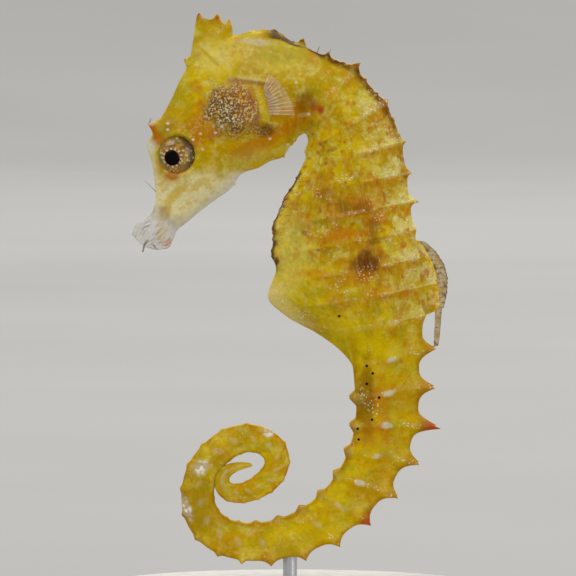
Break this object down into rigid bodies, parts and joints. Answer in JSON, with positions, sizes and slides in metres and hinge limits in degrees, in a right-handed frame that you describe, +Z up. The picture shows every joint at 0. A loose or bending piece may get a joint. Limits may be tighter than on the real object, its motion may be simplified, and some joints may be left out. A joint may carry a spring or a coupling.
{
  "type": "dwarf seahorse",
  "caption": "Small seahorse in side view with bowed head, crown-like coronet, ringed trunk, low dorsal fin and spiny tail rolled into a coil, held by a rod on a round display base.",
  "frame": {"origin": "middle of the underside of the display base", "axes": "+Z up; the fish faces -X and its left side looks towards -Y; its midline lies in the plane Y = 0, but for the inner turn of the tail"},
  "size_m": [0.018, 0.018, 0.0306],
  "materials": {
    "skin": "moist, half translucent yellow skin with orange-brown mottling",
    "snout_skin": "thin, see-through pale skin",
    "fin": "see-through membrane with fine rays",
    "eye": "clear cornea over a golden iris and a black pupil",
    "stand_base": "satin, pale grey",
    "stand_rod": "fine brushed"
  },
  "bodies": {
    "root": {"snout": "snout_skin", "head": "skin", "coronet": "skin", "eye_left": "eye", "eye_right": "eye", "pectoral_fin_left": "fin", "pectoral_fin_right": "fin", "neck": "skin", "trunk_upper": "skin", "trunk_middle": "skin", "trunk_lower": "skin", "brood_pouch": "skin", "dorsal_fin": "fin", "tail_1": "skin", "tail_2": "skin", "tail_3": "skin", "tail_4": "skin", "tail_5": "skin", "tail_6": "skin", "tail_7": "skin", "tail_8": "skin", "stand_base": "stand_base", "stand_rod": "stand_rod"}
  },
  "joints": []
}
